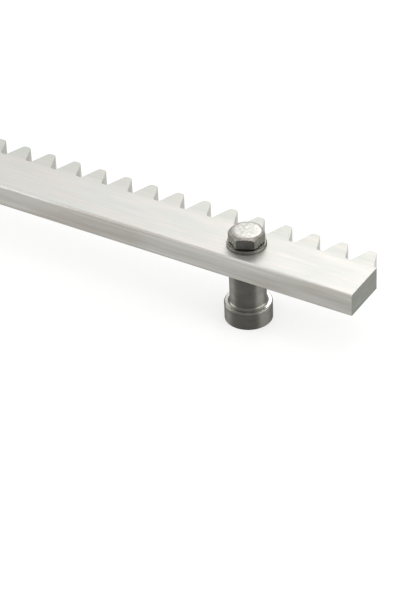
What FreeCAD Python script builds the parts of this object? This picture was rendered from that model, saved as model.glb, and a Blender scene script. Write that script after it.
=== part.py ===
# Steel gear rack, module 4, held on turned spacers by hexagon bolts and washers.
# Millimetres. X runs along the bar, the teeth point to +Y and Z is up.
# The origin is on the floor, under the middle of the bar's outline.

import FreeCAD, Part
import math
import os
import Sketcher

os.makedirs("parts", exist_ok=True)
doc = FreeCAD.newDocument("gear_rack")
Vector = FreeCAD.Vector

# Driving dimensions, each written once. Angles are in degrees.
SIZES = (
    ("tooth_module", 4),
    ("tooth_count", 40),
    ("pressure_angle", 20),
    ("tooth_dedendum", 5),
    ("tooth_tip_radius", 0.8),
    ("tooth_root_radius", 1.2),
    ("bar_body_width", 21),
    ("bar_thickness", 10),
    ("bar_edge_radius", 0.9),
    ("bolt_count", 2),
    ("bolt_end_distance", 52.5),
    ("bolt_line", 11.25),
    ("slot_clearance", 1),
    ("slot_travel", 3),
    ("bolt_diameter", 8),
    ("bolt_length", 25),
    ("last_bolt_turn", -5.5),
    ("bolt_turn_step", 22),
    ("head_across_flats", 13),
    ("head_height", 5.3),
    ("head_crown_angle", 38),
    ("head_crown_diameter", 12),
    ("head_seat_diameter", 11.6),
    ("head_seat_height", 0.4),
    ("washer_diameter", 16),
    ("washer_thickness", 1.4),
    ("washer_clearance", 0.4),
    ("washer_rim_chamfer", 0.3),
    ("spacer_length", 25),
    ("neck_diameter", 15),
    ("neck_flare_width", 0.5),
    ("neck_flare_height", 3),
    ("flange_diameter", 19.6),
    ("flange_height", 8),
    ("flange_rim_chamfer", 0.5),
    ("thread_clearance", 0.1),
    ("thread_runout", 4),
)

sheet = doc.addObject("Spreadsheet::Sheet", "sizes")
for row, (name, value) in enumerate(SIZES, start=1):
    sheet.set(f"A{row}", name)
    sheet.set(f"B{row}", str(value))
    sheet.setAlias(f"B{row}", name)
doc.recompute()


def size(name):
    """The value of one cell of the sheet."""
    return float(sheet.get(name))


def formula(text):
    """The text of an expression, with each size's name written as a cell of the sheet."""
    names = [name for name, _ in SIZES]
    return " ".join("sizes." + word if word in names else word for word in text.split())


# Dimensions that follow from the driving ones, as expressions on the sheet.
PITCH = "( pi * tooth_module )"
RACK_LENGTH = f"( {PITCH} * tooth_count )"
BAR_WIDTH = "( bar_body_width + tooth_dedendum + tooth_module )"
TIP_LINE = f"( {BAR_WIDTH} / 2 )"
SMOOTH_EDGE = f"( 0 - {BAR_WIDTH} / 2 )"
PITCH_LINE = f"( {TIP_LINE} - tooth_module )"
ROOT_LINE = f"( {PITCH_LINE} - tooth_dedendum )"
BOLT_ROW = f"( {SMOOTH_EDGE} + bolt_line )"
BOLT_SPAN = f"( {RACK_LENGTH} - 2 * bolt_end_distance )"
WASHER_SEAT = "( spacer_length + bar_thickness )"
HEAD_SEAT = f"( {WASHER_SEAT} + washer_thickness )"
SLOT_RADIUS = "( ( bolt_diameter + slot_clearance ) / 2 )"
THREAD_REACH = "( bolt_length - washer_thickness - bar_thickness )"
TAPPED_RADIUS = "( bolt_diameter / 2 + thread_clearance )"
TAPPED_FLOOR = f"( spacer_length - {THREAD_REACH} - thread_runout )"


def bind(thing, prop, text):
    """Ties one property of an object to the sheet."""
    thing.setExpression(prop, formula(text))


def new_body(name, along="0", across="0", height="0"):
    """A body whose own zero lies at the given place of the rack."""
    body = doc.addObject("PartDesign::Body", name)
    body.Label = name
    bind(body, "Placement.Base.x", along)
    bind(body, "Placement.Base.y", across)
    bind(body, "Placement.Base.z", height)
    return body


def origin_item(body, role):
    """One plane or axis of a body's own origin."""
    return [item for item in body.Origin.OriginFeatures if item.Role == role][0]


def new_sketch(body, name, plane, along="0", off_plane="0"):
    """A sketch on one origin plane of its body, shifted in the plane or off it."""
    sketch = body.newObject("Sketcher::SketchObject", name)
    sketch.AttachmentSupport = [(origin_item(body, plane), "")]
    sketch.MapMode = "FlatFace"
    bind(sketch, "AttachmentOffset.Base.x", along)
    bind(sketch, "AttachmentOffset.Base.z", off_plane)
    return sketch


def constrain(sketch, kind, *where):
    """One geometric constraint of a sketch."""
    return sketch.addConstraint(Sketcher.Constraint(kind, *where))


def dimension(sketch, kind, *where, text, start=1.0):
    """One dimension of a sketch, which follows an expression on the sheet."""
    index = sketch.addConstraint(Sketcher.Constraint(kind, *where, start))
    label = f"dimension_{index}"
    sketch.renameConstraint(index, label)
    bind(sketch, f"Constraints.{label}", text)


# How a sketch numbers its own axes and origin, and the points of a line or an arc.
X_AXIS, Y_AXIS = range(-1, -3, -1)
ORIGIN = X_AXIS
START, END, CENTRE = range(1, 4)


def place_point(sketch, item, point, x, y):
    """Puts a point of a sketch at two expressions. The text 0 puts it on that axis."""
    for text, kind, axis in ((x, "DistanceX", Y_AXIS), (y, "DistanceY", X_AXIS)):
        if text == "0":
            constrain(sketch, "PointOnObject", item, point, axis)
        else:
            dimension(sketch, kind, ORIGIN, START, item, point, text=text)


def draw_outline(sketch, corners):
    """A closed outline of straight lines between corners, each given by two expressions."""
    turn = 2 * math.pi / len(corners)
    rough = [Vector(math.cos(turn * i), math.sin(turn * i), 0) for i in range(len(corners))]
    lines = []
    for start, end in zip(rough, rough[1:] + rough[:1]):
        lines.append(sketch.addGeometry(Part.LineSegment(start, end), False))
    for line, following in zip(lines, lines[1:] + lines[:1]):
        constrain(sketch, "Coincident", line, END, following, START)
    for line, (x, y) in zip(lines, corners):
        place_point(sketch, line, START, x, y)


def sketch_arc(sketch, centre, radius, start_angle, end_angle):
    """An arc of a sketch, turning left from its start to its end, angles in degrees."""
    circle = Part.Circle(centre, Vector(0, 0, 1), radius)
    arc = Part.ArcOfCircle(circle, math.radians(start_angle), math.radians(end_angle))
    return sketch.addGeometry(arc, False)


def add_pad(body, name, sketch, length):
    """A pad of the sketch, upwards."""
    pad = body.newObject("PartDesign::Pad", name)
    pad.Profile = sketch
    bind(pad, "Length", length)
    doc.recompute()
    return pad


def turn_profile(body, kind, name, sketch):
    """A full turn of a profile about its body's Z axis: a Revolution or a Groove."""
    feature = body.newObject(f"PartDesign::{kind}", name)
    feature.Profile = sketch
    feature.ReferenceAxis = (origin_item(body, "Z_Axis"), [""])
    feature.Angle = 360
    doc.recompute()
    return feature


def cut_through(body, name, sketch):
    """A pocket through the whole body, both ways from its sketch."""
    before = body.Shape.Volume
    pocket = body.newObject("PartDesign::Pocket", name)
    pocket.Profile = sketch
    pocket.Type = "ThroughAll"
    pocket.Midplane = True
    doc.recompute()
    if not body.Shape.Volume < before:
        raise RuntimeError(f"{name} cuts nothing")
    return pocket


def repeat_along(body, name, feature, length, count):
    """Copies of a feature, evenly spaced along the bar."""
    pattern = body.newObject("PartDesign::LinearPattern", name)
    pattern.Originals = [feature]
    pattern.Direction = (origin_item(body, "X_Axis"), [""])
    bind(pattern, "Length", length)
    bind(pattern, "Occurrences", count)
    body.Tip = pattern
    doc.recompute()
    return pattern


def draw_tooth_gap(sketch):
    """The gap between two teeth: straight flanks, round tips and fillets at the root.

    It is the same on both sides of the sketch's Y axis. The flanks lean by the pressure angle,
    and at the pitch line the gap is half a pitch wide, as wide as a tooth is there.
    """
    lean = math.radians(size("pressure_angle"))
    addendum, tip_radius, root_radius = (
        size(name) for name in ("tooth_module", "tooth_tip_radius", "tooth_root_radius"))
    quarter_pitch = math.pi * addendum / 4
    tip = (size("bar_body_width") + size("tooth_dedendum") + addendum) / 2
    pitch_line = tip - addendum
    root = pitch_line - size("tooth_dedendum")
    clear = tip + addendum

    def flank_x(y):
        return quarter_pitch + (y - pitch_line) * math.tan(lean)

    root_x = flank_x(root + root_radius) - root_radius / math.cos(lean)
    tip_x = flank_x(tip - tip_radius) + tip_radius / math.cos(lean)
    root_end = Vector(root_x + root_radius * math.cos(lean),
                      root + root_radius * (1 - math.sin(lean)), 0)
    tip_end = Vector(tip_x - tip_radius * math.cos(lean),
                     tip - tip_radius * (1 - math.sin(lean)), 0)

    def line(x1, y1, x2, y2):
        return sketch.addGeometry(Part.LineSegment(Vector(x1, y1, 0), Vector(x2, y2, 0)), False)

    lean_angle = size("pressure_angle")
    floor = line(-root_x, root, root_x, root)
    flank = line(root_end.x, root_end.y, tip_end.x, tip_end.y)
    riser = line(tip_x, tip, tip_x, clear)
    lid = line(tip_x, clear, -tip_x, clear)
    left_riser = line(-tip_x, clear, -tip_x, tip)
    left_flank = line(-tip_end.x, tip_end.y, -root_end.x, root_end.y)
    fillet = sketch_arc(sketch, Vector(root_x, root + root_radius, 0), root_radius, -90, -lean_angle)
    left_fillet = sketch_arc(sketch, Vector(-root_x, root + root_radius, 0), root_radius,
                             180 + lean_angle, 270)
    round_tip = sketch_arc(sketch, Vector(tip_x, tip - tip_radius, 0), tip_radius, 90, 180 - lean_angle)
    left_tip = sketch_arc(sketch, Vector(-tip_x, tip - tip_radius, 0), tip_radius, lean_angle, 90)

    for first, first_end, second, second_end in (
            (floor, END, fillet, START), (fillet, END, flank, START), (flank, END, round_tip, END),
            (left_tip, START, left_flank, START), (left_flank, END, left_fillet, START),
            (left_fillet, END, floor, START)):
        constrain(sketch, "Tangent", first, first_end, second, second_end)
    for first, first_end, second, second_end in (
            (round_tip, START, riser, START), (riser, END, lid, START),
            (lid, END, left_riser, START), (left_riser, END, left_tip, END)):
        constrain(sketch, "Coincident", first, first_end, second, second_end)
    for upright in (riser, left_riser):
        constrain(sketch, "Vertical", upright)
    constrain(sketch, "Horizontal", lid)
    constrain(sketch, "Vertical", round_tip, CENTRE, round_tip, START)
    constrain(sketch, "Vertical", left_tip, CENTRE, left_tip, END)
    constrain(sketch, "Symmetric", floor, START, floor, END, Y_AXIS)
    constrain(sketch, "Symmetric", left_flank, START, flank, END, Y_AXIS)
    constrain(sketch, "Equal", fillet, left_fillet)
    constrain(sketch, "Equal", round_tip, left_tip)
    dimension(sketch, "Radius", fillet, text="tooth_root_radius", start=root_radius)
    dimension(sketch, "Radius", round_tip, text="tooth_tip_radius", start=tip_radius)
    dimension(sketch, "DistanceY", ORIGIN, START, floor, END, text=ROOT_LINE, start=root)
    dimension(sketch, "DistanceY", ORIGIN, START, round_tip, START, text=TIP_LINE, start=tip)
    dimension(sketch, "DistanceY", ORIGIN, START, riser, END,
              text=f"{TIP_LINE} + tooth_module", start=clear)
    narrowing = "tooth_dedendum * tan( pressure_angle )"
    for x_text, y_text, x, y in (
            (f"{PITCH} / 4", PITCH_LINE, quarter_pitch, pitch_line),
            (f"{PITCH} / 4 - {narrowing}", ROOT_LINE, flank_x(root), root)):
        point = sketch.addGeometry(Part.Point(Vector(x, y, 0)), True)
        constrain(sketch, "PointOnObject", point, START, flank)
        dimension(sketch, "DistanceX", ORIGIN, START, point, START, text=x_text, start=x)
        dimension(sketch, "DistanceY", ORIGIN, START, point, START, text=y_text, start=y)


def draw_slot(sketch):
    """A slot across the bar, on the line of the bolts, with round ends."""
    radius = (size("bolt_diameter") + size("slot_clearance")) / 2
    reach = size("slot_travel") / 2
    bar_width = size("bar_body_width") + size("tooth_dedendum") + size("tooth_module")
    middle = size("bolt_line") - bar_width / 2
    upper = sketch_arc(sketch, Vector(0, middle + reach, 0), radius, 0, 180)
    lower = sketch_arc(sketch, Vector(0, middle - reach, 0), radius, 180, 360)
    left = Part.LineSegment(Vector(-radius, middle + reach, 0), Vector(-radius, middle - reach, 0))
    right = Part.LineSegment(Vector(radius, middle - reach, 0), Vector(radius, middle + reach, 0))
    left, right = (sketch.addGeometry(side, False) for side in (left, right))
    for first, second in ((upper, left), (left, lower), (lower, right), (right, upper)):
        constrain(sketch, "Tangent", first, END, second, START)
    constrain(sketch, "PointOnObject", upper, CENTRE, Y_AXIS)
    constrain(sketch, "PointOnObject", lower, CENTRE, Y_AXIS)
    dimension(sketch, "Radius", upper, text=SLOT_RADIUS, start=radius)
    for arc, sign, start in ((upper, "+", middle + reach), (lower, "-", middle - reach)):
        dimension(sketch, "DistanceY", ORIGIN, START, arc, CENTRE,
                  text=f"{BOLT_ROW} {sign} slot_travel / 2", start=start)


def make_rack_bar():
    """The bar: one piece of flat steel, its long edges rounded, its teeth cut and its slots milled."""
    bar = new_body("rack_bar", height="spacer_length")
    blank = new_sketch(bar, "blank_outline", "XY_Plane")
    half = f"{RACK_LENGTH} / 2"
    draw_outline(blank, [(f"0 - {half}", SMOOTH_EDGE), (half, SMOOTH_EDGE),
                         (half, TIP_LINE), (f"0 - {half}", TIP_LINE)])
    stock = add_pad(bar, "blank", blank, "bar_thickness")
    long_edges = [f"Edge{number}" for number, edge in enumerate(stock.Shape.Edges, start=1)
                  if edge.BoundBox.XLength > size("bar_thickness")]
    rounding = bar.newObject("PartDesign::Fillet", "rounded_edges")
    rounding.Base = (stock, long_edges)
    bind(rounding, "Radius", "bar_edge_radius")
    doc.recompute()
    gap = new_sketch(bar, "tooth_gap_outline", "XY_Plane", along=f"0 - {half}")
    draw_tooth_gap(gap)
    repeat_along(bar, "tooth_gaps", cut_through(bar, "tooth_gap", gap), RACK_LENGTH, "tooth_count + 1")
    slot = new_sketch(bar, "slot_outline", "XY_Plane", along=f"0 - {BOLT_SPAN} / 2")
    draw_slot(slot)
    repeat_along(bar, "slots", cut_through(bar, "slot", slot), BOLT_SPAN, "bolt_count")
    return bar


def make_bolt(name, along, turn):
    """A hexagon-head bolt: a crowned head on a round seat, and a plain shank."""
    bolt = new_body(name, along, BOLT_ROW, HEAD_SEAT)
    bind(bolt, "Placement.Rotation.Angle", turn)
    hexagon = new_sketch(bolt, f"{name}_hexagon", "XY_Plane", off_plane="head_seat_height")
    flat = "head_across_flats / 2"
    half_side = f"{flat} * tan( 30 )"
    corner = f"{flat} / cos( 30 )"
    draw_outline(hexagon, [(flat, half_side), ("0", corner), (f"0 - {flat}", half_side),
                           (f"0 - {flat}", f"0 - {half_side}"), ("0", f"0 - {corner}"),
                           (flat, f"0 - {half_side}")])
    add_pad(bolt, f"{name}_head", hexagon, "head_height - head_seat_height")
    shank = new_sketch(bolt, f"{name}_shank_profile", "XZ_Plane")
    radius = "bolt_diameter / 2"
    draw_outline(shank, [("0", "head_seat_height"), ("head_seat_diameter / 2", "head_seat_height"),
                         ("head_seat_diameter / 2", "0"), (radius, "0"),
                         (radius, "0 - bolt_length"), ("0", "0 - bolt_length")])
    turn_profile(bolt, "Revolution", f"{name}_shank", shank)
    crown = new_sketch(bolt, f"{name}_crown_profile", "XZ_Plane")
    rim = "head_crown_diameter / 2"
    fall = f"( head_across_flats - {rim} ) * tan( head_crown_angle )"
    draw_outline(crown, [(rim, "head_height"), ("head_across_flats", f"head_height - {fall}"),
                         ("head_across_flats", "head_height")])
    turn_profile(bolt, "Groove", f"{name}_crown", crown)
    return bolt


def make_washer(name, along):
    """A flat washer, with its upper rim chamfered."""
    washer = new_body(name, along, BOLT_ROW, WASHER_SEAT)
    profile = new_sketch(washer, f"{name}_profile", "XZ_Plane")
    bore = "bolt_diameter / 2 + washer_clearance / 2"
    rim = "washer_diameter / 2"
    draw_outline(profile, [(bore, "0"), (rim, "0"), (rim, "washer_thickness - washer_rim_chamfer"),
                           (f"{rim} - washer_rim_chamfer", "washer_thickness"),
                           (bore, "washer_thickness")])
    turn_profile(washer, "Revolution", f"{name}_ring", profile)
    return washer


def make_spacer(name, along):
    """A turned spacer: a wide foot on the floor, and a neck tapped for the bolt that carries the bar."""
    spacer = new_body(name, along, BOLT_ROW)
    profile = new_sketch(spacer, f"{name}_profile", "XZ_Plane")
    foot, neck = "flange_diameter / 2", "neck_diameter / 2"
    draw_outline(profile, [("0", "0"), (foot, "0"), (foot, "flange_height - flange_rim_chamfer"),
                           (f"{foot} - flange_rim_chamfer", "flange_height"),
                           (f"{neck} + neck_flare_width", "flange_height"),
                           (neck, "flange_height + neck_flare_height"),
                           (neck, "spacer_length"), ("0", "spacer_length")])
    turn_profile(spacer, "Revolution", f"{name}_turning", profile)
    bore = new_sketch(spacer, f"{name}_bore_profile", "XZ_Plane")
    draw_outline(bore, [("0", "spacer_length"), (TAPPED_RADIUS, "spacer_length"),
                        (TAPPED_RADIUS, TAPPED_FLOOR), ("0", TAPPED_FLOOR)])
    turn_profile(spacer, "Groove", f"{name}_bore", bore)
    return spacer


pieces = [make_rack_bar()]
for index in range(int(size("bolt_count"))):
    place = f"{BOLT_SPAN} * ( {index} / ( bolt_count - 1 ) - 0.5 )"
    turned = f"last_bolt_turn - bolt_turn_step * ( bolt_count - 1 - {index} )"
    pieces.append(make_bolt(f"hex_bolt_{index + 1}", place, turned))
    pieces.append(make_washer(f"flat_washer_{index + 1}", place))
    pieces.append(make_spacer(f"spacer_{index + 1}", place))

doc.recompute()
for item in doc.Objects:
    if "Invalid" in item.State or "Error" in item.State:
        raise RuntimeError(f"{item.Name} failed: {item.State}")
for piece in pieces:
    shape = piece.Shape
    if shape.isNull() or not shape.isValid() or len(shape.Solids) != 1:
        raise RuntimeError(f"{piece.Label} is not one valid solid")
    print(f"{piece.Label}: {shape.Volume:.1f} mm3, {len(shape.Faces)} faces")
for piece in pieces:
    piece.Shape.exportStep(f"parts/{piece.Label}.step")
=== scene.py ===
# A steel gear rack on its turned spacers, bolted down through washers, on a white studio floor.
# Metres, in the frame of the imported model: X along the bar, teeth towards +Y, Z up.
import math
import bpy
from mathutils import Matrix, Vector


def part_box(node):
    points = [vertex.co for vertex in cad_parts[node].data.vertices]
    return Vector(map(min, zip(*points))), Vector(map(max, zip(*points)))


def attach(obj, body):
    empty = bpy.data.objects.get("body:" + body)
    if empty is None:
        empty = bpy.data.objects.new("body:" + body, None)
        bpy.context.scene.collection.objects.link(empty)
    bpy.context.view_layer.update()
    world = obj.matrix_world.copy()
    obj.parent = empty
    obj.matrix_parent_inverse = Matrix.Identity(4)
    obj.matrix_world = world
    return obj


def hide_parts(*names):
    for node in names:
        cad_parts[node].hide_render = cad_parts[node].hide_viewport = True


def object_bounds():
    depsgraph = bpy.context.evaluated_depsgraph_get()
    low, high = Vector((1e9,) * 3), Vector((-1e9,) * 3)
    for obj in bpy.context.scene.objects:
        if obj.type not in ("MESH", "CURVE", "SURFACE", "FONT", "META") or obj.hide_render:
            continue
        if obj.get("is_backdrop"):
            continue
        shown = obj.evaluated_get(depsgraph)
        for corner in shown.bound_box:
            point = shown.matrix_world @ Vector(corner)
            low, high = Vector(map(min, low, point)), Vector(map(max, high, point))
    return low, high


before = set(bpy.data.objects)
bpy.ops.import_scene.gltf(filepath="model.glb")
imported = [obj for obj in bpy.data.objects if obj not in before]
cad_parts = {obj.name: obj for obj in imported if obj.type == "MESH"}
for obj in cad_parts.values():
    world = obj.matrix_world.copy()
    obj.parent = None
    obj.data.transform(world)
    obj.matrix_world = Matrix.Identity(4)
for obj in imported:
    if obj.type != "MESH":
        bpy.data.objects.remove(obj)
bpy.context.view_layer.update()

# The camera
# It looks down on the right-hand end of the bar, from the smooth side, with a long lens.
# Its place was found by fitting it to the bar's end and lower edge, the teeth, the spacer's foot
# and the bolt's head.
MM = 0.001
aim = Vector((187.3, -21.3, 14.8)) * MM
camera_distance = 938.3 * MM
camera_azimuth, camera_elevation, camera_roll = (math.radians(angle) for angle in (32.50, 36.00, -2.55))
film_height_pixels, focal_length_pixels, film_height_mm = 601, 2373.4, 36

camera_data = bpy.data.cameras.new("long_lens")
camera_data.sensor_width = film_height_mm
camera_data.lens = focal_length_pixels / film_height_pixels * film_height_mm
camera_data.clip_start, camera_data.clip_end = 0.05, 50
camera = bpy.data.objects.new("camera", camera_data)
bpy.context.collection.objects.link(camera)
facing = (Matrix.Rotation(camera_azimuth, 4, "Z")
          @ Matrix.Rotation(math.pi / 2 - camera_elevation, 4, "X")
          @ Matrix.Rotation(camera_roll, 4, "Z"))
camera.matrix_world = Matrix.Translation(aim) @ facing @ Matrix.Translation((0, 0, camera_distance))
bpy.context.scene.camera = camera


# The toothed bar
# One length of drawn flat steel, zinc plated. The teeth are cut in one edge, and the ends are
# sawn half-way across a gap, so that the next length carries on the pitch.
def paint(hex_colour):
    """A colour written as on paper, as the linear light that a shader takes."""
    parts = [int(hex_colour[i:i + 2], 16) / 255 for i in (0, 2, 4)]
    return tuple(p / 12.92 if p <= 0.04045 else ((p + 0.055) / 1.055) ** 2.4 for p in parts) + (1.0,)


def add_node(tree, kind, inputs=(), stops=(), **settings):
    """One node, with its settings, its inputs, constant or linked, and a colour ramp's stops."""
    node = tree.nodes.new(kind)
    for name, value in settings.items():
        setattr(node, name, value)
    for name, value in dict(inputs).items():
        if isinstance(value, bpy.types.NodeSocket):
            tree.links.new(value, node.inputs[name])
        else:
            node.inputs[name].default_value = value
    for index, (place, hex_colour) in enumerate(stops):
        stop = node.color_ramp.elements[index] if index < 2 else node.color_ramp.elements.new(place)
        stop.position, stop.color = place, paint(hex_colour)
    return node


def bare_metal(name, shades, grain_mm, clouds_mm, roughness, relief_mm,
               tints=("f7f4f1", "f1f4f1"), tone_and_light_ramp=None):
    """A metal whose grain runs between two shades, with a low relief and broad faint clouds.
    The tone and light ramp is an axis, the two places that it runs between, and the colours laid over
    on the way: a real tone on the brushed plate, painted highlight and shade on the drawn edge and the
    turned steel."""
    grain_detail, clouds_detail, fading = 3.0, 2.0, 0.55
    grain_low, grain_high, clouds_low, clouds_high = 0.32, 0.68, 0.38, 0.62
    dull_low, dull_high, dull_swing, bump_strength = 0.3, 0.7, 0.03, 0.6
    material = bpy.data.materials.new(name)
    material.use_nodes = True
    tree = material.node_tree
    place = add_node(tree, "ShaderNodeTexCoord").outputs["Object"]
    noises = []
    for cell_mm, detail in ((grain_mm, grain_detail), (clouds_mm, clouds_detail)):
        mapped = add_node(tree, "ShaderNodeMapping", {
            "Vector": place, "Scale": [1 / (length * MM) for length in cell_mm]})
        noises.append(add_node(tree, "ShaderNodeTexNoise", {
            "Vector": mapped.outputs["Vector"], "Scale": 1.0, "Detail": detail,
            "Roughness": fading}).outputs["Fac"])
    grain, clouds = noises
    layers = [
        add_node(tree, "ShaderNodeValToRGB", {"Fac": grain},
                 stops=((grain_low, shades[0]), (grain_high, shades[1]))),
        add_node(tree, "ShaderNodeValToRGB", {"Fac": clouds},
                 stops=((clouds_low, tints[0]), (clouds_high, tints[1])))]
    if tone_and_light_ramp:
        axis, start, end, colours = tone_and_light_ramp
        axes = add_node(tree, "ShaderNodeSeparateXYZ", {"Vector": place})
        along = add_node(tree, "ShaderNodeMapRange", {
            "Value": axes.outputs[axis], "From Min": start, "From Max": end})
        layers.append(add_node(
            tree, "ShaderNodeValToRGB", {"Fac": along.outputs["Result"]}, stops=colours))
    colour = layers[0].outputs["Color"]
    for layer in layers[1:]:
        colour = add_node(tree, "ShaderNodeMix", {0: 1.0, 6: colour, 7: layer.outputs["Color"]},
                          data_type="RGBA", blend_type="MULTIPLY").outputs[2]
    dullness = add_node(tree, "ShaderNodeMapRange", {
        "Value": clouds, "From Min": dull_low, "From Max": dull_high,
        "To Min": roughness - dull_swing, "To Max": roughness + dull_swing})
    bump = add_node(tree, "ShaderNodeBump", {
        "Height": grain, "Distance": relief_mm * MM, "Strength": bump_strength})
    shader = tree.nodes["Principled BSDF"]
    shader.inputs["Metallic"].default_value = 1.0
    tree.links.new(colour, shader.inputs["Base Color"])
    tree.links.new(dullness.outputs["Result"], shader.inputs["Roughness"])
    tree.links.new(bump.outputs["Normal"], shader.inputs["Normal"])
    return material


def select_only(piece):
    """Makes one piece the only one selected, and the active one."""
    bpy.ops.object.select_all(action="DESELECT")
    piece.select_set(True)
    bpy.context.view_layer.objects.active = piece


def soften_edges(piece, width_mm, sharper_than=30, segments=2):
    """Rounds every edge that is sharper than an angle, and shades the rest smooth."""
    select_only(piece)
    rounding = piece.modifiers.new("softened_edges", "BEVEL")
    rounding.width = width_mm * MM
    rounding.segments = segments
    rounding.limit_method = "ANGLE"
    rounding.angle_limit = math.radians(sharper_than)
    rounding.use_clamp_overlap = True
    bpy.ops.object.modifier_apply(modifier=rounding.name)
    bpy.ops.object.shade_smooth_by_angle(angle=math.radians(sharper_than))
    shading = piece.modifiers.new("large_faces_stay_flat", "WEIGHTED_NORMAL")
    shading.keep_sharp = True
    bpy.ops.object.modifier_apply(modifier=shading.name)


def arc(centre, radius, first_degrees, last_degrees, steps):
    """Points round an arc, from one direction to another."""
    turns = [math.radians(first_degrees + (last_degrees - first_degrees) * step / steps)
             for step in range(steps + 1)]
    return [(centre[0] + radius * math.cos(turn), centre[1] + radius * math.sin(turn))
            for turn in turns]


def extrude_path(points):
    """Draws a line through points in edit mode, starting from one selected vertex at the first."""
    for point, following in zip(points, points[1:]):
        step = [after - before for before, after in zip(point, following)]
        bpy.ops.mesh.extrude_vertices_move(TRANSFORM_OT_translate={"value": step})


bar_low, bar_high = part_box("rack_bar")
module_mm, tooth_count, pressure_degrees = 4, 40, 20
tooth_depth, tip_radius, root_radius, corner_roll = 9 * MM, 1.4 * MM, 1.2 * MM, 0.9 * MM
pitch, root_line = math.pi * module_mm * MM, bar_high.y - tooth_depth
flank_slope = math.tan(math.radians(pressure_degrees))
corner_length = math.tan(math.radians(45 - pressure_degrees / 2))
tip_half_width = pitch / 4 - module_mm * MM * flank_slope
gap_half_width = pitch / 2 - tip_half_width - tooth_depth * flank_slope
root_steps, tip_steps, roll_steps, near = 5, 7, 6, pitch / 100

# One tooth's outline runs from the middle of a gap to the middle of the next: a root fillet, a
# straight flank and a rounded tip corner, and the same again the other way round. The tips are
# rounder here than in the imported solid.
root_centre = (gap_half_width - root_radius * corner_length, root_line + root_radius)
tip_centre = (pitch / 2 - tip_half_width + tip_radius * corner_length, bar_high.y - tip_radius)
rising = [(0, root_line), *arc(root_centre, root_radius, -90, -pressure_degrees, root_steps),
          *arc(tip_centre, tip_radius, 180 - pressure_degrees, 90, tip_steps)]
falling = [(pitch - along, across) for along, across in reversed(rising)]
outline = [(bar_low.x + along, across, bar_low.z) for along, across in rising + falling]

bpy.ops.object.select_all(action="DESELECT")
bpy.ops.mesh.primitive_plane_add(size=1 * MM, location=(0, 0, 0))
bar = bpy.context.object
bar.name = bar.data.name = "toothed_bar"
bpy.ops.object.mode_set(mode="EDIT")
bpy.ops.mesh.merge(type="CENTER")
bpy.ops.transform.translate(value=outline[0])
extrude_path(outline)
bpy.ops.object.mode_set(mode="OBJECT")
teeth = bar.modifiers.new("forty_teeth", "ARRAY")
teeth.count = tooth_count
teeth.use_relative_offset, teeth.use_constant_offset = False, True
teeth.constant_offset_displace = (pitch, 0, 0)
teeth.use_merge_vertices, teeth.merge_threshold = True, 0.001 * MM
bpy.ops.object.modifier_apply(modifier=teeth.name)

# The two open ends run back to the smooth side and are joined there. The face that they close is
# then drawn up to the bar's thickness, and the drawn corners of the smooth side are rolled over.
for point in bar.data.vertices:
    point.select = not bar_low.x + near < point.co.x < bar_high.x - near
bpy.ops.object.mode_set(mode="EDIT")
bpy.ops.mesh.extrude_vertices_move(TRANSFORM_OT_translate={"value": (0, bar_low.y - root_line, 0)})
bpy.ops.mesh.edge_face_add()
bpy.ops.mesh.select_all(action="SELECT")
bpy.ops.mesh.edge_face_add()
bpy.ops.mesh.extrude_region_move(TRANSFORM_OT_translate={"value": (0, 0, bar_high.z - bar_low.z)})
bpy.ops.mesh.select_all(action="SELECT")
bpy.ops.mesh.normals_make_consistent(inside=False)
bpy.ops.mesh.select_all(action="DESELECT")
bpy.ops.mesh.select_mode(type="EDGE")
bpy.ops.object.mode_set(mode="OBJECT")
for edge in bar.data.edges:
    first, last = (bar.data.vertices[corner].co for corner in edge.vertices)
    on_smooth_side = max(first.y, last.y) < bar_low.y + near
    edge.select = on_smooth_side and abs(first.x - last.x) > pitch
bpy.ops.object.mode_set(mode="EDIT")
bpy.ops.mesh.bevel(offset=corner_roll, offset_type="OFFSET", segments=roll_steps, affect="EDGES")
bpy.ops.mesh.select_mode(type="VERT")
bpy.ops.object.mode_set(mode="OBJECT")

# A slot for each fixing, longer across the bar, so that the depth of the teeth's mesh can be set.
slot_width, slot_length, cutter_height = 9 * MM, 12 * MM, 40 * MM
for fixing in ("hex_bolt_1", "hex_bolt_2"):
    low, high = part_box(fixing)
    bpy.ops.mesh.primitive_cylinder_add(
        vertices=48, radius=slot_width / 2, depth=cutter_height, location=(0, 0, 0))
    cutter = bpy.context.object
    for point in cutter.data.vertices:
        point.co.y += math.copysign((slot_length - slot_width) / 2, point.co.y)
        point.co += (low + high) / 2
    select_only(bar)
    cut = bar.modifiers.new("fixing_slot", "BOOLEAN")
    cut.operation, cut.object = "DIFFERENCE", cutter
    bpy.ops.object.modifier_apply(modifier=cut.name)
    bpy.data.objects.remove(cutter)
soften_edges(bar, width_mm=0.2)

# Brushed zinc plate on the broad faces: nearly white, with long faint lines. The brush leaves
# lines 0.1 mm wide, drawn 0.7 mm wide here to show. The toothed strip is a little greyer.
brushed_plate = bare_metal(
    "brushed_zinc_plate", shades=("d6d5d2", "dfdedb"), grain_mm=(26, 0.7, 0.7), clouds_mm=(30, 6, 6),
    roughness=0.48, relief_mm=0.02, tints=("faf7f5", "f5f7f5"),
    tone_and_light_ramp=("Y", root_line - 2 * MM, root_line + 3 * MM, ((0, "ffffff"), (1, "f4f6f4"))))
# Zinc over the drawn edge: painted greyer than the top, as shade on the upright side, with the
# die's long streaks, drawn 1.2 mm wide to show. Up its height the light is painted too: a little
# lighter at the foot, darkest across the middle, and a painted highlight towards the rolled
# corner above, where it takes the top's brightness.
drawn_edge_painted_light = bare_metal(
    "drawn_zinc_edge_painted_light", shades=("f1f0ef", "ffffff"), grain_mm=(34, 1.2, 1.2), clouds_mm=(45, 6, 2.5),
    roughness=0.42, relief_mm=0.01, tints=("e9e5e2", "fafbfa"),
    tone_and_light_ramp=("Z", bar_low.z, bar_high.z, (
        (0.15, "b7b6b2"), (0.55, "b2b1ad"), (0.82, "bdbcb8"), (0.91, "bbbab6"), (0.95, "c0bfbb"),
        (0.985, "e6e5e3"))))
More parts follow.
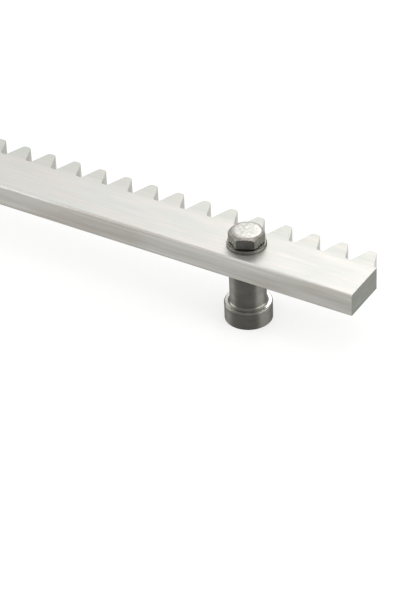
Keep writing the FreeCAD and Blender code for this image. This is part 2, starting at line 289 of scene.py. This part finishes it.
# Zinc over the milled flanks: dull, and painted darker than the top as shade, with upright lines
# 0.6 mm apart where each cutter tooth passed.
milled_flanks_painted_shade = bare_metal(
    "milled_tooth_flanks_painted_shade", shades=("9a9995", "c2c0bc"), grain_mm=(0.6, 0.6, 12), clouds_mm=(9, 9, 5),
    roughness=0.40, relief_mm=0.02)
# Bare steel of the saw cut: a greener grey, darker partly as bare steel and partly as painted
# shade of the upright end, with the lines of the saw across it.
sawn_ends_and_shade = bare_metal(
    "sawn_steel_ends_and_shade", shades=("6d6f69", "7e807a"), grain_mm=(0.4, 7, 0.5), clouds_mm=(9, 9, 5),
    roughness=0.45, relief_mm=0.02)
for finish in (brushed_plate, drawn_edge_painted_light, milled_flanks_painted_shade, sawn_ends_and_shade):
    bar.data.materials.append(finish)
BRUSHED, EDGE, FLANK, SAWN = range(4)
nearly_level, nearly_square = 0.98, 0.99
for face in bar.data.polygons:
    if abs(face.normal.z) > nearly_level:
        face.material_index = BRUSHED
    elif abs(face.normal.x) > nearly_square and abs(face.center.x) > bar_high.x - near:
        face.material_index = SAWN
    elif face.center.y < bar_low.y + 2 * corner_roll:
        face.material_index = EDGE
    else:
        face.material_index = FLANK
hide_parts("rack_bar")
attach(bar, "root")


# The spacers
# Each is turned from round steel bar: a neck that the bar sits on, bored for the bolt, and a wider
# foot that stands on what carries the rack. The tool leaves fine rings round it, and its faced
# ends and shoulder are bright.
def turn_on_lathe(name, centre, profile_mm, steps=96):
    """Turns a profile, as (radius, height) in mm from the axis outwards, about an upright axis."""
    bpy.ops.object.select_all(action="DESELECT")
    first_radius, first_height = profile_mm[0]
    bpy.ops.mesh.primitive_plane_add(size=1 * MM, location=(0, 0, 0))
    piece = bpy.context.object
    piece.name = piece.data.name = name
    bpy.ops.object.mode_set(mode="EDIT")
    bpy.ops.mesh.merge(type="CENTER")
    bpy.ops.transform.translate(value=(first_radius * MM, 0, first_height * MM))
    extrude_path([(radius * MM, 0, height * MM) for radius, height in profile_mm])
    bpy.ops.mesh.select_all(action="SELECT")
    bpy.ops.mesh.spin(steps=steps, angle=2 * math.pi, center=(0, 0, 0), axis=(0, 0, 1))
    bpy.ops.mesh.select_all(action="SELECT")
    bpy.ops.mesh.remove_doubles(threshold=0.001 * MM)
    bpy.ops.mesh.normals_make_consistent(inside=False)
    bpy.ops.transform.translate(value=centre)
    bpy.ops.object.mode_set(mode="OBJECT")
    return piece


def copy_at(piece, name, along, turned=0.0):
    """A copy of a finished piece with its own mesh, moved along the bar and turned about its axis."""
    select_only(piece)
    bpy.ops.object.duplicate(linked=False)
    copy = bpy.context.object
    copy.name = copy.data.name = name
    low, high = (Vector(corner) for corner in (piece.bound_box[0], piece.bound_box[6]))
    bpy.ops.object.mode_set(mode="EDIT")
    bpy.ops.mesh.select_all(action="SELECT")
    bpy.ops.transform.rotate(value=turned, orient_axis="Z", center_override=(low + high) / 2)
    bpy.ops.transform.translate(value=(along, 0, 0))
    bpy.ops.object.mode_set(mode="OBJECT")
    return copy


spacer_low, spacer_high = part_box("spacer_2")
spacer_axis = Vector(((spacer_low.x + spacer_high.x) / 2, (spacer_low.y + spacer_high.y) / 2, 0))
spacer_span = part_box("spacer_2")[0].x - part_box("spacer_1")[0].x
foot_radius = (spacer_high.x - spacer_low.x) / 2 / MM
spacer_height = (spacer_high.z - spacer_low.z) / MM
neck_radius, neck_chamfer, foot_height, rim_chamfer = 7.5, 0.5, 8.0, 0.4
bore_radius, bore_floor = 4.1, 7.4
fillet_radius, fillet_steps = 1.0, 6
fillet_centre = (neck_radius + fillet_radius, foot_height + fillet_radius)
foot_fillet = arc(fillet_centre, fillet_radius, -90, -180, fillet_steps)
spacer = turn_on_lathe("turned_spacer_2", spacer_axis, [
    (0, 0), (foot_radius, 0), (foot_radius, foot_height - rim_chamfer),
    (foot_radius - rim_chamfer, foot_height), *foot_fillet,
    (neck_radius, spacer_height - neck_chamfer), (neck_radius - neck_chamfer, spacer_height),
    (bore_radius, spacer_height), (bore_radius, bore_floor), (0, bore_floor)])
soften_edges(spacer, width_mm=0.15, sharper_than=20)
# Turned steel: dark, with highlights drawn out up and down the neck, because its rings run round.
# The feed leaves rings 0.1 mm apart, drawn 0.25 mm apart and faint. The fillet and the rim beside
# it are painted brighter, as a highlight, and the foot's side is a little darker than the neck.
highlight_low, highlight_high, highlight_fade = foot_height - rim_chamfer, foot_height + fillet_radius, 0.3
turned_steel = bare_metal(
    "turned_steel", shades=("777672", "868581"), grain_mm=(30, 30, 0.25), clouds_mm=(5, 5, 4),
    roughness=0.50, relief_mm=0.006, tints=("e4e2de", "f4f4f2"),
    tone_and_light_ramp=("Z", 0, spacer_height * MM, (
        ((highlight_low - highlight_fade) / spacer_height, "c0bfbe"), (highlight_low / spacer_height, "ffffff"),
        ((highlight_high - highlight_fade) / spacer_height, "ffffff"), (highlight_high / spacer_height, "c9c9c8"))))
turned = turned_steel.node_tree
turned_shader = turned.nodes["Principled BSDF"]
turned_shader.inputs["Anisotropic"].default_value = 0.8
turned_shader.inputs["Anisotropic Rotation"].default_value = 0.25
round_it = add_node(turned, "ShaderNodeTangent", direction_type="RADIAL", axis="Z")
turned.links.new(round_it.outputs["Tangent"], turned_shader.inputs["Tangent"])
# Faced steel on the shoulder: bright and clean, so that it mirrors the neck at its front and the
# pale air at its sides.
faced_steel = bare_metal(
    "faced_steel", shades=("dddcd9", "efeeec"), grain_mm=(0.6, 0.6, 0.6), clouds_mm=(5, 5, 4),
    roughness=0.24, relief_mm=0.005)
for finish in (turned_steel, faced_steel):
    spacer.data.materials.append(finish)
TURNED, FACED = range(2)
nearly_flat = 0.95
for face in spacer.data.polygons:
    face.material_index = FACED if abs(face.normal.z) > nearly_flat else TURNED
for number, piece in ((2, spacer), (1, copy_at(spacer, "turned_spacer_1", -spacer_span))):
    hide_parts(f"spacer_{number}")
    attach(piece, "root")


# The washers
# Each is stamped from steel strip and zinc plated. The stamping rounds its upper rim and leaves
# its faces flat.
washer_low, washer_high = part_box("flat_washer_2")
washer_radius = (washer_high.x - washer_low.x) / 2 / MM
washer_thickness = (washer_high.z - washer_low.z) / MM
washer_bore_radius, washer_rim = 4.2, 0.3
washer = turn_on_lathe("stamped_washer_2", spacer_axis + Vector((0, 0, washer_low.z)), [
    (washer_bore_radius, 0), (washer_radius, 0), (washer_radius, washer_thickness - washer_rim),
    (washer_radius - washer_rim, washer_thickness), (washer_bore_radius, washer_thickness),
    (washer_bore_radius, 0)])
soften_edges(washer, width_mm=0.15, sharper_than=20)
# Stamped zinc plate on the faces: smooth and fairly bright, with a faint orange-peel.
stamped_plate = bare_metal(
    "stamped_zinc_plate", shades=("9a9892", "b6b4ae"), grain_mm=(1.2, 1.2, 1.2), clouds_mm=(4, 4, 4),
    roughness=0.28, relief_mm=0.01)
# The sheared rim: rough, and painted dark as shade, so that it frames the head.
rim_painted_shade = bare_metal(
    "washer_rim_painted_shade", shades=("575652", "666561"), grain_mm=(1.2, 1.2, 0.8), clouds_mm=(4, 4, 4),
    roughness=0.50, relief_mm=0.02)
for finish in (stamped_plate, rim_painted_shade):
    washer.data.materials.append(finish)
STAMPED, SHADED_RIM = range(2)
for face in washer.data.polygons:
    face.material_index = STAMPED if abs(face.normal.z) > nearly_flat else SHADED_RIM
for number, piece in ((2, washer), (1, copy_at(washer, "stamped_washer_1", -spacer_span))):
    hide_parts(f"flat_washer_{number}")
    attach(piece, "root")


# The hexagon bolts
# Each is forged from round wire, its head pressed with a crown, a round seat under it and six flats.
# Here it is turned first, and its flats are cut after, so each meets the crown in a curve.
bolt_low, bolt_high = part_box("hex_bolt_2")
shank_radius, seat_radius, seat_height, head_height = 4.0, 5.8, 0.4, 5.3
across_flats, blank_radius, flat_count = 13.0, 7.4, 6
crown = ((blank_radius, 4.15), (6.5, 4.86), (5.9, 5.12), (5.3, 5.25), (4.6, head_height))
shank_length = (bolt_high.z - bolt_low.z) / MM - head_height
right_turn, left_turn = math.radians(-5.5), math.radians(-27.5)
bolt = turn_on_lathe("hexagon_bolt_2", (0, 0, 0), [
    (0, -shank_length), (shank_radius, -shank_length), (shank_radius, 0), (seat_radius, 0),
    (seat_radius, seat_height), (blank_radius, seat_height), *crown, (0, head_height)])
bpy.ops.object.mode_set(mode="EDIT")
flat_turn = 2 * math.pi / flat_count
for side in range(flat_count):
    angle = flat_turn * side + right_turn
    outward = Vector((math.cos(angle), math.sin(angle), 0))
    bpy.ops.mesh.select_all(action="SELECT")
    bpy.ops.mesh.bisect(plane_co=outward * across_flats / 2 * MM, plane_no=outward,
                        use_fill=True, clear_outer=True)
bpy.ops.mesh.select_all(action="SELECT")
bpy.ops.transform.translate(value=spacer_axis + Vector((0, 0, bolt_high.z - head_height * MM)))
bpy.ops.object.mode_set(mode="OBJECT")
soften_edges(bolt, width_mm=0.15, sharper_than=20)
# Pressed zinc on the disc: the brightest place, with a soft mottle from the punch.
pressed_disc = bare_metal(
    "pressed_zinc_disc", shades=("b2b0ac", "d9d8d5"), grain_mm=(1.3, 1.3, 1.3), clouds_mm=(5, 5, 5),
    roughness=0.32, relief_mm=0.02)
# Zinc on the forged crown: a warm mid grey, painted darker than the disc as shade on the sloping
# crown, with a coarser mottle.
crown_painted_shade = bare_metal(
    "zinc_crown_painted_shade", shades=("8f8b85", "aba8a2"), grain_mm=(1.4, 1.4, 1.4), clouds_mm=(5, 5, 5),
    roughness=0.36, relief_mm=0.02)
# The trimmed flats: painted dark as shade, and smooth enough to mirror the bar beside them.
flats_painted_shade = bare_metal(
    "zinc_flats_painted_shade", shades=("4c4b49", "5a5956"), grain_mm=(1.4, 1.4, 0.9), clouds_mm=(5, 5, 5),
    roughness=0.32, relief_mm=0.02)
# Every other flat is painted brighter, as a highlight on the flats either side of the dark one.
flats_painted_highlight = bare_metal(
    "zinc_flats_painted_highlight", shades=("7b7a76", "8f8e89"), grain_mm=(1.4, 1.4, 0.9), clouds_mm=(5, 5, 5),
    roughness=0.32, relief_mm=0.02)
for finish in (pressed_disc, crown_painted_shade, flats_painted_shade, flats_painted_highlight):
    bolt.data.materials.append(finish)
DISC, CROWN, SHADED_FLAT, LIT_FLAT = range(4)
leaning = 0.3
# The disc, crown and flats take their tones by the way each faces: the flat towards the camera is
# painted shade, and the flats either side of it are painted highlight.
for face in bolt.data.polygons:
    if face.normal.z > nearly_flat:
        face.material_index = DISC
    elif face.normal.z > leaning:
        face.material_index = CROWN
    else:
        side = round((math.atan2(face.normal.y, face.normal.x) - right_turn) / flat_turn)
        face.material_index = SHADED_FLAT if side % 2 else LIT_FLAT
bolt_copy = copy_at(bolt, "hexagon_bolt_1", -spacer_span, left_turn - right_turn)
for number, piece in ((2, bolt), (1, bolt_copy)):
    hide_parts(f"hex_bolt_{number}")
    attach(piece, "root")


# The studio
# A white floor runs out of the picture, and the light is soft and even, from above, behind and
# both sides. More than half of what the floor shows is its own white, so that the shadow on it
# stays faint.
floor_size, own_white, matt, air_brightness = 60, 0.6, 0.9, 0.85
bpy.ops.object.select_all(action="DESELECT")
bpy.ops.mesh.primitive_plane_add(size=floor_size, location=(0, 0, 0))
floor = bpy.context.object
floor.name = "studio_floor"
floor_paint = bpy.data.materials.new("matt_white_floor")
floor_paint.use_nodes = True
floor_tree = floor_paint.node_tree
floor_shader = floor_tree.nodes["Principled BSDF"]
floor_shader.inputs["Base Color"].default_value = paint("fafaf9")
floor_shader.inputs["Roughness"].default_value = matt
floor_shader.inputs["Specular IOR Level"].default_value = 0.0
shine = add_node(floor_tree, "ShaderNodeEmission", {"Color": paint("ffffff"), "Strength": 1.0})
rays = add_node(floor_tree, "ShaderNodeLightPath").outputs
seen_or_mirrored = add_node(floor_tree, "ShaderNodeMath", {
    0: rays["Is Camera Ray"], 1: rays["Is Glossy Ray"]}, operation="ADD")
seen_at_all = add_node(floor_tree, "ShaderNodeMath", {
    0: seen_or_mirrored.outputs["Value"], 1: rays["Is Transmission Ray"]}, operation="MAXIMUM")
shining = add_node(floor_tree, "ShaderNodeMath", {
    0: seen_at_all.outputs["Value"], 1: own_white}, operation="MULTIPLY")
surface = add_node(floor_tree, "ShaderNodeMixShader", {
    0: shining.outputs["Value"], 1: floor_shader.outputs["BSDF"], 2: shine.outputs["Emission"]})
floor_tree.links.new(surface.outputs["Shader"], floor_tree.nodes["Material Output"].inputs["Surface"])
floor.data.materials.append(floor_paint)
floor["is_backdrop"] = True

scene = bpy.context.scene
scene.view_settings.view_transform = "Standard"
world = bpy.data.worlds.new("studio_air")
scene.world = world
world.use_nodes = True
air = world.node_tree.nodes["Background"]
air.inputs["Color"].default_value = paint("ffffff")
air.inputs["Strength"].default_value = air_brightness

# The back softbox brightens the bar's top towards its right end. The two low ones at the sides
# draw a light band down each side of the round necks. Sizes are in metres, and powers in watts.
for name, place, target, width, height, power in (
        ("back_softbox", (-0.05, 0.92, 0.80), (0.24, 0, 0), 0.55, 0.55, 1.95),
        ("top_softbox", (0.6, -0.2, 2.2), (0.15, 0, 0), 1.2, 1.2, 8),
        ("right_softbox", (1.08, 0.20, 0.09), (0.2, 0, 0.02), 0.9, 0.14, 12),
        ("left_softbox", (-0.64, -0.30, 0.09), (0.2, 0, 0.02), 0.7, 0.14, 7.5)):
    lamp_data = bpy.data.lights.new(name, "AREA")
    lamp_data.shape = "RECTANGLE"
    lamp_data.size, lamp_data.size_y = width, height
    lamp_data.energy = power
    lamp = bpy.data.objects.new(name, lamp_data)
    bpy.context.collection.objects.link(lamp)
    lamp.location = place
    lamp.rotation_euler = (Vector(target) - Vector(place)).to_track_quat("-Z", "Y").to_euler()
    lamp.visible_camera = False

low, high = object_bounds()
